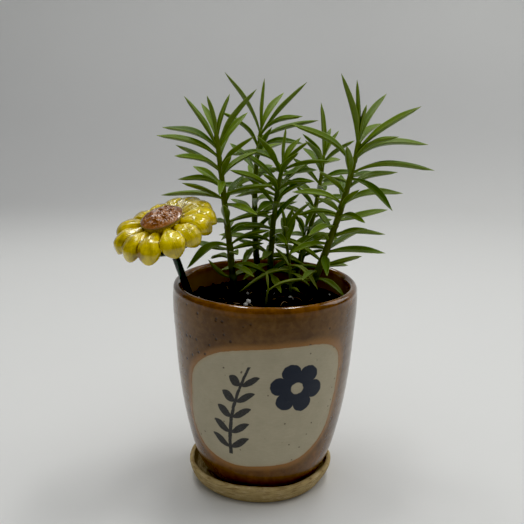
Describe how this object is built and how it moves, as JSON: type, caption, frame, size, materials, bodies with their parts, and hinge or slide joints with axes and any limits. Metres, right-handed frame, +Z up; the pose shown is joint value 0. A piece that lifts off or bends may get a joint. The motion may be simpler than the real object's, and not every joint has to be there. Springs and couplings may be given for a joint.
{
  "type": "potted peperomia on a saucer with a ceramic flower pick",
  "caption": "Bushy narrow-leaved peperomia in a tall glazed pot on a clay saucer, with a glazed ceramic daisy on a stake.",
  "frame": {"origin": "on the pot's axis, in the plane of the saucer's flat underside", "axes": "+Z up along the pot's axis; -Y is the front, with the panel; +X is to the right of someone who looks at the front"},
  "size_m": [0.1632, 0.1159, 0.2253],
  "materials": {
    "bare_clay": "raw tan clay, brushed along the rim",
    "brown_glaze": "semi-gloss brown glaze with a matt cream panel in front",
    "potting_soil": "loose black potting mix",
    "leaf_green": "smooth fleshy leaf with a soft sheen",
    "yellow_glaze": "high-gloss yellow glaze",
    "disc_glaze": "high-gloss brown glaze over pitted clay",
    "calyx_glaze": "thin grey-green glaze",
    "stake_green": "glossy dark green rod"
  },
  "bodies": {
    "root": {"saucer": "bare_clay", "pot": "brown_glaze", "soil": "potting_soil", "shoot_left": "leaf_green", "shoot_back": "leaf_green", "shoot_middle": "leaf_green", "shoot_far": "leaf_green", "shoot_right": "leaf_green", "shoot_short": "leaf_green", "shoot_slim": "leaf_green", "shoot_low": "leaf_green", "shoot_front": "leaf_green", "flower_petals": "yellow_glaze", "flower_disc": "disc_glaze", "flower_calyx": "calyx_glaze", "flower_stake": "stake_green"}
  },
  "joints": []
}
